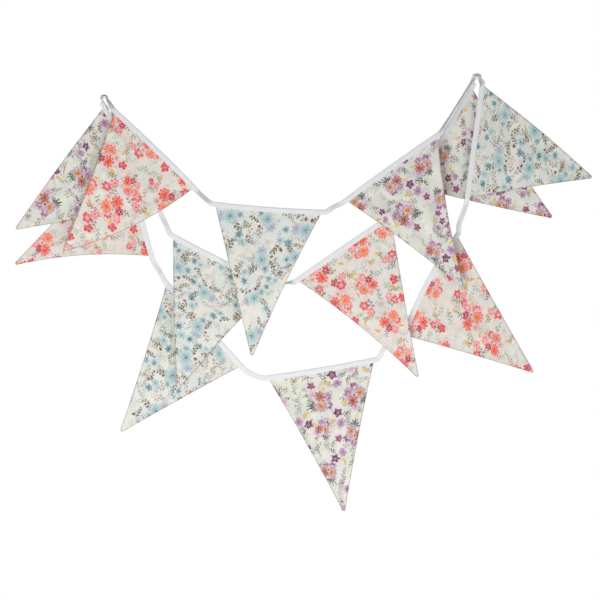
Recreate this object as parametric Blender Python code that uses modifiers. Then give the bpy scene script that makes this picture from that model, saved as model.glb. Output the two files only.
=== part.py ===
"""Fabric bunting: twelve printed cotton pennants on one folded tape that is hung over two pegs.

The tape makes three passes between the pegs, so the pennants hang in three layers. X runs to the
right, Z up and the front faces -Y. The origin is in the middle of the tape's loop at the left peg.
Tables are in millimetres, as the sizes were measured, and the meshes are in metres.
"""

import math
from collections import namedtuple

import bmesh
import bpy
from mathutils import Vector

MM = 0.001

# Cloth and tape, in millimetres
CLOTH_T = 1.2  # a pennant's cotton with its turned edges
TIP_W = 4.0  # blunt turned tip of a pennant
TAPE_W = 10.0  # width of the folded tape
LEAF_T = 0.7  # one leaf of the folded tape
FIT = 0.3  # gap that touching pieces keep
FOLD_EDGE = 0.7  # solid fold at the tape's upper edge
TUCK = 3.0  # how far a pennant reaches past the tape's middle line
SLOT_FULL = CLOTH_T / 2 + FIT  # half slot where the tape holds a pennant
SLOT_SHUT = 0.15  # half slot where the tape's leaves lie together
HOIST_SPARE = 4.0  # the slot stays wide this far past a pennant's corners

# Steps of the meshes
CLOTH_COLS = 7
CLOTH_ROWS = 12
HOIST_STEPS = 7
TAPE_STEP = 14.0  # longest step between two sections of the tape
FEWEST_STEPS = 3  # steps of a short stretch that turns round its length
SHARP_DEG = 40.0  # edges that bend further than this stay crisp

# Pegs that the tape hangs over: middle of the loop in X and Z, and the tape's bend round it
Peg = namedtuple("Peg", "x z")
PEGS = {"left": Peg(0.0, 0.0), "right": Peg(613.5, 34.0)}
LOOP_R = 7.0
LOOP_STEPS = 4  # steps of the bend over a peg

# How far round its own length the tape is turned, in degrees: 0 hangs its pennants to the left of
# its run, 90 turns their edge to the front, and 180 hangs them to the right
TO_LEFT, TO_FRONT, TO_RIGHT = 0.0, 90.0, 180.0

# A row for each pennant, with its hoist in the order in which the tape runs.
# depth is the hoist's Y, tip_depth the tip's, belly how far the middle swells to the front.
# rise is the height of the soft fold that runs from fold_at on the hoist towards the tip.
# The bows are how far the hoist and the two sides curve outwards, less than nothing for inwards.
Pennant = namedtuple(
    "Pennant",
    "colour start end tip depth tip_depth belly fold_at rise hoist_bow start_bow end_bow",
)
PENNANTS = {
    "coral_3": Pennant("coral", (28, -82), (73, -258), (-151, -272), 10, 12, 2, 0.5, 1, 0, 0, -9),
    "blue_3": Pennant("blue", (102, -304), (218, -438), (24, -550), 12, 9, 4, 0.35, 2, 0, -5, 0),
    "purple_4": Pennant("purple", (271, -461), (442, -431), (393, -680), 6, 3, 3, 0.6, 2, -1, 0, 0),
    "coral_4": Pennant("coral", (493, -387), (578, -227), (706, -451), 8, 6, 4, 0.4, 2, 7, 0, 1),
    "blue_4": Pennant("blue", (596, -164), (620, 22), (802, -129), 2, 0, 4, 0.5, 1, 0, -2, 0),
    "purple_2": Pennant("purple", (606, 19), (512, -136), (737, -196), 14, 14, 2, 0.6, 1, 0, -3, 8),
    "coral_2": Pennant("coral", (470, -194), (317, -298), (514, -458), -2, -3, 4, 0.6, 2, 6, 0, -6),
    "blue_2": Pennant("blue", (279, -304), (111, -227), (119, -478), 0, -1, 3, 0.3, 2, 0, -4, 2),
    "purple_3": Pennant("purple", (84, -177), (-2, -15), (-148, -214), -2, -1, 2, 0.5, 1, 0, 0, 0),
    "coral_1": Pennant("coral", (12, -22), (140, -148), (-68, -250), -14, -12, 3, 0.7, 2, 0, -1, 12),
    "blue_1": Pennant("blue", (182, -176), (356, -187), (241, -423), -12, -10, 4, 0.4, 2, -2, 0, -2),
    "purple_1": Pennant("purple", (398, -172), (548, -62), (587, -309), -14, -12, 4, 0.6, 3, 1, -8, -4),
}
FOLD_SPREAD = 0.16  # half width of a pennant's soft fold, as a share of its width

# The tape's way: a pennant's name, a point that it passes, or a turn over a peg
Via = namedtuple("Via", "x depth z turn")
Over = namedtuple("Over", "peg depth from_deg to_deg")
ROUTE = (
    Via(-7.5, 12, -18, TO_FRONT),
    Over("left", 12, 180, 0),
    "coral_3",
    Via(93, 11, -287, TO_RIGHT),
    "blue_3",
    Via(244, 9, -457, TO_RIGHT),
    "purple_4",
    Via(464, 7, -411, TO_RIGHT),
    "coral_4",
    Via(582, 5, -209, TO_RIGHT),
    Via(588, 3, -180, TO_RIGHT),
    "blue_4",
    Over("right", 8, 0, 180),
    "purple_2",
    Via(490, 6, -165, TO_LEFT),
    "coral_2",
    Via(298, -1, -304, 70),
    "blue_2",
    Via(97, -1, -208, TO_LEFT),
    "purple_3",
    Over("left", -8, 180, 0),
    "coral_1",
    Via(160, -13, -162, TO_RIGHT),
    "blue_1",
    Via(378, -13, -184, TO_RIGHT),
    "purple_1",
    Via(569, -12, -29, TO_RIGHT),
    Via(586, -10, -5, TO_RIGHT),
    Via(601, -9, 18, 160),
    Over("right", -8, 180, 0),
    Via(621.5, -8, 19, TO_FRONT),
)

# Finishes: base colour and roughness
FINISHES = {
    "coral": ((0.86, 0.70, 0.66), 0.9),
    "blue": ((0.76, 0.80, 0.80), 0.9),
    "purple": ((0.78, 0.71, 0.74), 0.9),
    "tape": ((0.92, 0.92, 0.93), 0.85),
}


def clear_scene():
    """Takes away whatever the scene holds."""
    for obj in list(bpy.data.objects):
        bpy.data.objects.remove(obj, do_unlink=True)


def cotton(name):
    """A plain cotton finish in one of the bunting's colours."""
    colour, roughness = FINISHES[name]
    material = bpy.data.materials.new("cotton_" + name)
    material.use_nodes = True
    shader = material.node_tree.nodes["Principled BSDF"]
    shader.inputs["Base Color"].default_value = (*colour, 1.0)
    shader.inputs["Roughness"].default_value = roughness
    shader.inputs["Metallic"].default_value = 0.0
    return material


def smooth(share):
    """0 to 1 with level ends."""
    share = min(max(share, 0.0), 1.0)
    return share * share * (3 - 2 * share)


def across(direction):
    """A unit vector square to a direction in the XZ plane, to its left as seen from the front."""
    return Vector((-direction.z, 0, direction.x)).normalized()


def hoist_point(row, share):
    """A point of a pennant's top edge, which bows away from its tip."""
    start = Vector((row.start[0], row.depth, row.start[1]))
    end = Vector((row.end[0], row.depth, row.end[1]))
    tip = Vector((row.tip[0], row.depth, row.tip[1]))
    out = across(end - start)
    if out.dot(tip - start) > 0:
        out = -out
    return start.lerp(end, share) + out * row.hoist_bow * 4 * share * (1 - share)


def side_bulge(row, share):
    """How far a line from the hoist to the tip is pushed out by the pennant's curved sides."""
    start, end = hoist_point(row, 0), hoist_point(row, 1)
    tip = Vector((row.tip[0], row.depth, row.tip[1]))
    out_start = across(tip - start)
    if out_start.dot(end - start) > 0:
        out_start = -out_start
    out_end = across(tip - end)
    if out_end.dot(start - end) > 0:
        out_end = -out_end
    return out_start * row.start_bow * (1 - share) + out_end * row.end_bow * share


def pennant_point(row, along, down):
    """A point of a pennant's middle surface: along its hoist and down towards its tip."""
    start, end = hoist_point(row, 0), hoist_point(row, 1)
    tip = Vector((row.tip[0], row.depth, row.tip[1]))
    height = (tip - (start + end) / 2).length
    tuck = TUCK / height
    held = 2 * tuck
    share = down * (1 + tuck) - tuck
    free = max(0.0, share - held) / (1 - held)
    end_of_line = tip + (end - start).normalized() * TIP_W * (along - 0.5)
    point = hoist_point(row, along).lerp(end_of_line, share)
    point += side_bulge(row, along) * 4 * max(share, 0.0) * (1 - share)
    wave = math.sin(math.pi * free) ** 2
    fold = row.rise * math.exp(-(((along - row.fold_at) / FOLD_SPREAD) ** 2))
    point.y = row.depth + (row.tip_depth - row.depth) * smooth(free) - (row.belly + fold) * wave
    return point


def in_collection(obj, collection, finish):
    """Puts a new object in its collection with its own finish."""
    collection.objects.link(obj)
    obj.data.materials.append(cotton(finish))


def make_pennant(name, row, collection):
    """One pennant: a grid laid on its hanging shape and given the cloth's thickness."""
    mesh = bpy.data.meshes.new("pennant_" + name)
    shape = bmesh.new()
    bmesh.ops.create_grid(shape, x_segments=CLOTH_COLS, y_segments=CLOTH_ROWS, size=0.5)
    for vert in shape.verts:
        vert.co = pennant_point(row, vert.co.x + 0.5, vert.co.y + 0.5) * MM
    shape.to_mesh(mesh)
    shape.free()
    obj = bpy.data.objects.new("pennant_" + name, mesh)
    in_collection(obj, collection, row.colour)
    shell = obj.modifiers.new("cloth_thickness", "SOLIDIFY")
    shell.thickness = CLOTH_T * MM
    shell.offset = 0.0
    mesh.shade_smooth()
    mesh.set_sharp_from_angle(angle=math.radians(SHARP_DEG))
    return obj


# One section of the tape: its middle, how far it is turned, and half its slot
Section = namedtuple("Section", "middle turn slot")


def hoist_sections(row, turn):
    """The tape's sections along one pennant, a little past both its corners."""
    length = (hoist_point(row, 1) - hoist_point(row, 0)).length
    spare = HOIST_SPARE / length
    shares = [-spare + (1 + 2 * spare) * i / HOIST_STEPS for i in range(HOIST_STEPS + 1)]
    return [Section(hoist_point(row, share), turn, SLOT_FULL) for share in shares]


def over_peg(step):
    """Stations of the tape's turn over a peg."""
    peg = PEGS[step.peg]
    stations = []
    for i in range(LOOP_STEPS + 1):
        angle = math.radians(step.from_deg + (step.to_deg - step.from_deg) * i / LOOP_STEPS)
        middle = Vector((peg.x + LOOP_R * math.cos(angle), step.depth, peg.z + LOOP_R * math.sin(angle)))
        stations.append(Section(middle, TO_FRONT, SLOT_SHUT))
    return stations


def curve_between(stations, first_way, last_way):
    """Sections on a smooth curve through stations, which leaves and meets in the given ways."""
    ways = [first_way]
    for before, after in zip(stations, stations[2:]):
        ways.append((after.middle - before.middle).normalized())
    ways.append(last_way)
    sections = []
    for i in range(len(stations) - 1):
        here, there = stations[i], stations[i + 1]
        length = (there.middle - here.middle).length
        steps = max(FEWEST_STEPS, math.ceil(length / TAPE_STEP))
        for k in range(steps):
            t = k / steps
            middle = here.middle * (2 * t**3 - 3 * t**2 + 1) + there.middle * (3 * t**2 - 2 * t**3)
            middle += ways[i] * length * (t**3 - 2 * t**2 + t)
            middle += ways[i + 1] * length * (t**3 - t**2)
            turn = here.turn + (there.turn - here.turn) * smooth(t)
            slot = here.slot if k == 0 else SLOT_SHUT
            sections.append(Section(middle, turn, slot))
    return sections


def tape_sections():
    """All the tape's sections, from its first free end to its last."""
    legs = []
    for step in ROUTE:
        if isinstance(step, str):
            row = PENNANTS[step]
            run = hoist_point(row, 1) - hoist_point(row, 0)
            tip = Vector((row.tip[0], row.depth, row.tip[1])) - hoist_point(row, 0)
            turn = TO_LEFT if across(run).dot(tip) > 0 else TO_RIGHT
            legs.append(("hoist", hoist_sections(row, turn)))
        elif isinstance(step, Over):
            legs.append(("free", over_peg(step)))
        else:
            middle = Vector((step.x, step.depth, step.z))
            legs.append(("free", [Section(middle, step.turn, SLOT_SHUT)]))
    sections = []
    waiting = []
    way = None
    for kind, stations in legs:
        if kind == "free":
            waiting += stations
            continue
        if way is None:
            way = (waiting[1].middle - waiting[0].middle).normalized()
        entry = (stations[1].middle - stations[0].middle).normalized()
        sections += curve_between(waiting + stations[:1], way, entry)
        sections += stations[:-1]
        waiting = [stations[-1]]
        way = (stations[-1].middle - stations[-2].middle).normalized()
    leaving = (waiting[-1].middle - waiting[-2].middle).normalized()
    sections += curve_between(waiting, way, leaving)
    sections.append(waiting[-1])
    return sections


def section_outline(slot):
    """The folded tape's section as (towards the pennant, through the tape) pairs."""
    half, outer = TAPE_W / 2, slot + LEAF_T
    inner = -half + FOLD_EDGE
    return (
        (-half, -outer),
        (half, -outer),
        (half, -slot),
        (inner, -slot),
        (inner, slot),
        (half, slot),
        (half, outer),
        (-half, outer),
    )


def make_tape(collection):
    """The whole tape: its folded section lofted along its way."""
    sections = tape_sections()
    front = Vector((0, 1, 0))
    shape = bmesh.new()
    rings = []
    for i, section in enumerate(sections):
        before = sections[max(i - 1, 0)].middle
        after = sections[min(i + 1, len(sections) - 1)].middle
        run = (after - before).normalized()
        left = run.cross(front).normalized()
        turn = math.radians(section.turn)
        hang = left * math.cos(turn) + run.cross(left) * math.sin(turn)
        through = run.cross(hang)
        ring = []
        for out, off in section_outline(section.slot):
            ring.append(shape.verts.new((section.middle + hang * out + through * off) * MM))
        rings.append(ring)
    for ring, after in zip(rings, rings[1:]):
        for k in range(len(ring)):
            n = (k + 1) % len(ring)
            shape.faces.new((ring[k], ring[n], after[n], after[k]))
    shape.faces.new(rings[0])
    shape.faces.new(rings[-1])
    bmesh.ops.recalc_face_normals(shape, faces=shape.faces)
    mesh = bpy.data.meshes.new("bunting_tape")
    shape.to_mesh(mesh)
    shape.free()
    obj = bpy.data.objects.new("bunting_tape", mesh)
    in_collection(obj, collection, "tape")
    mesh.shade_smooth()
    mesh.set_sharp_from_angle(angle=math.radians(SHARP_DEG))
    return obj


def main():
    """Builds the whole bunting."""
    clear_scene()
    collection = bpy.data.collections.new("fabric_bunting")
    bpy.context.scene.collection.children.link(collection)
    make_tape(collection)
    for name, row in PENNANTS.items():
        make_pennant(name, row, collection)


main()
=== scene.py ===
"""Looks of the fabric bunting: printed cotton pennants, the folded tape, its stitching and a plain stage."""

import math
from collections import namedtuple
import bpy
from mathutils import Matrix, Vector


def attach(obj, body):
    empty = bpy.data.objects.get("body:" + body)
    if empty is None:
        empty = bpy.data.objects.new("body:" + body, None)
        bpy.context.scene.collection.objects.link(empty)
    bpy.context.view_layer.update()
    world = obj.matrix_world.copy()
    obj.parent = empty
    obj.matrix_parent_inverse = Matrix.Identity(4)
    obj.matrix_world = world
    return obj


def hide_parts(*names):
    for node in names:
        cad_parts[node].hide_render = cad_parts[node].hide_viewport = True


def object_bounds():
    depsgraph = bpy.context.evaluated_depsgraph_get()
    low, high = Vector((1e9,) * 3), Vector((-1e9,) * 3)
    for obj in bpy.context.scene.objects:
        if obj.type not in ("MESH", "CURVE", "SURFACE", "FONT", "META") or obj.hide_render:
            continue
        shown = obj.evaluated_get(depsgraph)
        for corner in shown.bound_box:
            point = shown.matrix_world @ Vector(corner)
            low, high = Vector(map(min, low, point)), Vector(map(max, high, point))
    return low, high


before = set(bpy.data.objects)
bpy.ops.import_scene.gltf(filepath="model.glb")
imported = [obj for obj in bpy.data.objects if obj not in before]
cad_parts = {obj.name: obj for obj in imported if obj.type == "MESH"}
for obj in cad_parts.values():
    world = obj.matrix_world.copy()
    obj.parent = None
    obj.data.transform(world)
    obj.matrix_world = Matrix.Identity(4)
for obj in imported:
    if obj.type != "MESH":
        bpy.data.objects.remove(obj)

from types import SimpleNamespace

import bpy
from mathutils import Vector, noise

bl_info = {
    "name": "Fabric Bunting",
    "version": (1, 0, 0),
    "blender": (4, 5, 0),
    "location": "View3D > Sidebar > Bunting",
    "description": "Dresses a hung string of floral cotton pennants on a folded tape",
    "category": "Object",
}

MM = 0.001
CAD_BOX = [list(corner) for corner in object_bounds()]
ROOT = "root"

# The tables below are in millimetres and repeat the hanging shape that the frame's solids have.
# depth is the hoist's Y, tip_depth the tip's, belly how far the middle swells to the front.
# rise is the height of the soft fold that runs from fold_at on the hoist towards the tip.
# The bows are how far the hoist and the two sides curve outwards, less than nothing for inwards.
Pennant = namedtuple(
    "Pennant",
    "colour start end tip depth tip_depth belly fold_at rise hoist_bow start_bow end_bow",
)
PENNANTS = {
    "coral_3": Pennant("coral", (28, -82), (74, -259.5), (-151, -272), 10, 12, 2, 0.5, 1, -1, 0, -9),
    "blue_3": Pennant("blue", (99, -305), (222, -441.5), (24, -549), 12, 9, 4, 0.35, 2, 0, -2, -1),
    "purple_4": Pennant("purple", (267, -461), (442.5, -431.5), (392.5, -680), 6, 3, 3, 0.6, 2, -1.5, -2.5, -2),
    "coral_4": Pennant("coral", (492, -390), (580, -225), (705, -450.5), 8, 6, 4, 0.4, 2, 6, -1, -1),
    "blue_4": Pennant("blue", (596, -164), (621, 23.5), (801, -129.5), 2, 0, 4, 0.5, 1, 0, -2, 2.5),
    "purple_2": Pennant("purple", (605, 20), (509.5, -144), (737, -194.5), 14, 14, 2, 0.6, 1, 0, -4, 2.2),
    "coral_2": Pennant("coral", (470, -194), (316, -299.5), (514, -458), -2, -3, 4, 0.6, 2, 0.4, -1.5, -6),
    "blue_2": Pennant("blue", (278, -308), (111, -227), (119, -478), 0, -1, 3, 0.3, 2, -2.4, -4, 2),
    "purple_3": Pennant("purple", (84, -177), (-3.2, -13.5), (-148, -214), -2, -1, 2, 0.5, 1, 0, 0, 1.6),
    "coral_1": Pennant("coral", (15.5, -22), (145.5, -147.5), (-68, -250), -14, -12, 3, 0.7, 2, 1.5, -2.2, 12.5),
    "blue_1": Pennant("blue", (180.5, -175), (356, -188), (241, -423), -12, -10, 4, 0.4, 2, -2, 0, -3.5),
    "purple_1": Pennant("purple", (396, -168.5), (546, -61.5), (587, -309), -14, -12, 4, 0.6, 3, 1, -3.2, -5.5),
}
FOLD_SPREAD = 0.16  # half width of a pennant's soft fold, as a share of its width

# Creases in a pennant's own sizes: across its hoist and down to its tip as shares at both ends,
# height in millimetres (to the front, less than nothing for a trough) and half width
Crease = namedtuple("Crease", "across down to_across to_down rise spread")
CREASES = {
    "coral_3": (Crease(0.1, 0.25, 0.7, 0.75, 1.0, 12), Crease(0.9, 0.1, 0.7, 0.6, -0.8, 10)),
    "blue_3": (
        Crease(0.15, 0.05, 0.5, 0.7, -1.2, 12),
        Crease(0.05, 0.80, 0.95, 0.88, 1.8, 5),
        Crease(0.8, 0.1, 0.6, 0.6, 0.9, 11),
    ),
    "purple_4": (Crease(0.25, 0.05, 0.45, 0.7, -0.9, 13), Crease(0.85, 0.1, 0.6, 0.8, 0.9, 10)),
    "coral_4": (Crease(0.7, 0.05, 0.55, 0.75, -1.1, 12), Crease(0.15, 0.1, 0.4, 0.6, 0.8, 10)),
    "blue_4": (Crease(0.8, 0.05, 0.55, 0.8, -1.1, 12), Crease(0.2, 0.15, 0.45, 0.7, 0.8, 11)),
    "purple_2": (Crease(0.3, 0.1, 0.5, 0.8, 0.8, 12),),
    "coral_2": (Crease(0.3, 0.05, 0.5, 0.8, -1.0, 11), Crease(0.85, 0.05, 0.7, 0.5, 0.9, 10)),
    "blue_2": (Crease(0.6, 0.05, 0.55, 0.7, -1.2, 13), Crease(0.9, 0.1, 0.7, 0.55, 0.8, 9)),
    "purple_3": (Crease(0.2, 0.2, 0.6, 0.85, -0.9, 12), Crease(0.1, 0.86, 0.9, 0.93, 1.2, 5)),
    "coral_1": (
        Crease(-0.06, 0.13, 0.16, 0.12, 3.2, 7.5),
        Crease(0.05, 0.20, 0.22, 0.45, 1.0, 9),
        Crease(0.92, 0.05, 0.65, 0.55, -1.2, 10),
        Crease(0.98, 0.12, 0.8, 0.5, 1.0, 8),
    ),
    "blue_1": (Crease(0.7, 0.03, 0.55, 0.75, -1.3, 12), Crease(0.12, 0.05, 0.3, 0.6, 1.0, 10)),
    "purple_1": (
        Crease(0.3, 0.05, 0.5, 0.85, -1.4, 12),
        Crease(0.85, 0.03, 0.75, 0.6, -1.3, 10),
        Crease(0.05, 0.05, 0.3, 0.5, 0.9, 9),
    ),
}
CREASE_DEPTH = 1.5  # creases are this much higher than their table says
CREASE_END = 0.35  # height at a crease's ends, as a share of its middle's

# The share down a pennant from which its turned-up end shows the paler wrong side
WRONG_SIDE = {"purple_3": 0.90, "blue_3": 0.86, "coral_2": 0.95}

# Where on the printed cotton each pennant was cut: shift in millimetres and turn in degrees
Cut = namedtuple("Cut", "right up turn")
CUTS = {
    "coral_1": Cut(132, 463, 172),
    "coral_2": Cut(610, 150, -6),
    "coral_3": Cut(340, 900, 96),
    "coral_4": Cut(910, 620, 8),
    "blue_1": Cut(200, 350, 4),
    "blue_2": Cut(720, 80, 176),
    "blue_3": Cut(480, 760, -12),
    "blue_4": Cut(90, 940, 88),
    "purple_1": Cut(260, 110, 184),
    "purple_2": Cut(830, 410, 20),
    "purple_3": Cut(560, 820, -80),
    "purple_4": Cut(150, 640, 2),
}

# The tape's way: a pennant's name, a point that it passes, or a turn over a peg
Peg = namedtuple("Peg", "x z")
PEGS = {"left": Peg(-2.6, 0.0), "right": Peg(611.2, 33.0)}
TO_LEFT, TO_FRONT, TO_RIGHT = 0.0, 90.0, 180.0
Via = namedtuple("Via", "x depth z turn")
Over = namedtuple("Over", "peg depth from_deg to_deg radius turn")
ROUTE = (
    Via(0.0, 12, -18, 20),
    Over("left", 12, 180, 0, 4.6, TO_FRONT),
    "coral_3",
    Via(88, 11, -285, 152),
    "blue_3",
    Via(244, 9, -457, TO_RIGHT),
    "purple_4",
    Via(462, 7, -409, TO_RIGHT),
    "coral_4",
    Via(582.4, 5, -209, 150),
    Via(592.4, 3, -180, 150),
    "blue_4",
    Over("right", 8, 0, 180, 5.4, TO_FRONT),
    "purple_2",
    Via(490, 6, -165, TO_LEFT),
    "coral_2",
    Via(298, -1, -304, 70),
    "blue_2",
    Via(98.5, -1, -207, 30),
    "purple_3",
    Over("left", -8, 180, 0, 4.6, 112),
    Via(8.6, -12, -11.5, 138),
    "coral_1",
    Via(155, -13, -157, 145),
    Via(167, -13, -168, 145),
    "blue_1",
    Via(376, -13, -179, 155),
    "purple_1",
    Via(557, -12, -46, 122),
    Via(569.7, -12, -25.5, 110),
    Via(587.2, -11, 2.5, 108),
    Via(600.8, -9, 23.5, 116),
    Over("right", -8, 180, 0, 4.8, 142),
    Via(617.5, -8, 19, 110),
)

# Cloth and tape, in millimetres
TIP_W = 4.0  # blunt turned tip of a pennant
TUCK = 2.2  # how far a pennant reaches past the tape's middle line
HOIST_SPARE = 2.0  # the tape stays parted this far past a pennant's corners
LEAF_T = 0.5  # one leaf of the folded tape
HELD_HALF = 0.95  # from the tape's middle to a leaf's middle over a pennant
SHUT_HALF = 0.36  # the same between pennants
SEAM_W = 6.0  # width of the turned edge inside a pennant
SEAM_PAST, SEAM_FADE = 0.5, 1.5  # the turned edge thins out from this far past its width, over so much
INNER_PLUMP = 0.62  # thickness inside the turned edge, as a share of the edge's
RIM_PLUMP, RIM_W = 0.45, 0.9  # the outermost rim's share, and its width
NO_WRONG_SIDE = 1.1
TURN_SLANT, TURN_EDGE = 0.03, 0.008  # of a turned-up end's line, as shares of the height
BROAD_WAVE, BROAD_RISE = 55, 1.3
FINE_WAVE, FINE_RISE = 17, 0.28
EDGE_WAVE, EDGE_RISE = 38, 1.1
WAVE_SEED = 13.7
LOOSENING = 9  # waves are full from this part of the height on: a ninth
SHOULDER_POWER = 0.7  # of the tape's turn over a peg, less than 1 for a squarer one
SHUTTING = 7.0  # the tape's leaves close over this length
TAPE_WAVE, TAPE_RISE, LANE_STEP, LEAF_SEED = 26, 0.10, 0.4, 5.0  # waves of the tape's leaves
TAPE_EDGE_WAVE, TAPE_EDGE_RISE, EDGE_STEP, EDGE_SEED = 9, 0.18, 3.0, 9.0  # and of its open edges
FOLD_HALF = 0.3  # nearer to the middle than this the tape is its fold, which doesn't wave
STITCH_PITCH = 3.2
STITCH_L = 2.3
STITCH_R = 0.22
STITCH_PROUD, STITCH_BOW = 0.25, 0.5  # shares of its radius
STITCH_IN = 1.5  # from the tape's open edge to its stitching

# Steps of the meshes
CLOTH_COLS = 72
CLOTH_ROWS = 104
TAPE_STEP = 4.0
TWIST_STEP = 6.0  # degrees
LOOP_STEPS = 4
HOIST_STEPS = 46
TAPE_LEAF_STEPS = 5
TAPE_FOLD_STEPS = 4

# Inks of the prints, as display values from 0 to 255
INKS = {
    "cream": (230, 228, 218), "mist": (210, 218, 209), "blush": (233, 220, 212),
    "lilac mist": (223, 218, 218), "pale lime": (223, 226, 204), "sky mist": (212, 220, 220),
    "pale pink": (244, 200, 192), "warm blush": (234, 216, 207), "pale lilac": (228, 206, 224),
    "pale sky": (206, 220, 220),
    "scarlet": (224, 62, 42), "orange": (244, 138, 72), "vermilion": (240, 90, 52), "rust": (184, 88, 46),
    "amber": (216, 150, 56), "straw": (232, 198, 120), "lime": (196, 180, 74),
    "coral": (232, 80, 96), "rose": (240, 122, 132), "crimson": (206, 42, 68),
    "plum": (116, 50, 82), "maroon": (140, 54, 62), "mauve": (156, 96, 136),
    "lilac": (196, 158, 190), "magenta": (166, 52, 96), "dark plum": (80, 40, 62),
    "pale teal": (184, 208, 208), "teal": (138, 176, 180), "deep teal": (78, 124, 138),
    "steel": (186, 192, 206), "dusk": (140, 150, 176), "navy": (44, 58, 84),
    "forest": (54, 70, 54), "olive": (108, 108, 70), "sage": (158, 166, 138),
    "faint sage": (196, 200, 178), "taupe": (166, 148, 134), "bark": (102, 84, 66),
    "dark bark": (62, 52, 44), "faint taupe": (200, 190, 176), "dusty rose": (212, 150, 138),
}

# Motifs in millimetres round the middle of their bouquet, with their inks. Turns are in degrees.
# A bloom's slim is a petal's half width and heart its disc, as shares of its radius, and its
# petals are pointed where star is 1.
Bloom = namedtuple("Bloom", "x y radius petals slim heart star petal deep disc core glow halo")
Blade = namedtuple("Blade", "x y turn length width bend root tip")
Fan = namedtuple("Fan", "x y turn radius width step spread colour")
# A bent stem with pairs of leaves (berry 0) or of berries (berry 1)
Twig = namedtuple("Twig", "x y turn length gap leaf bend berry colour deep")
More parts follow.
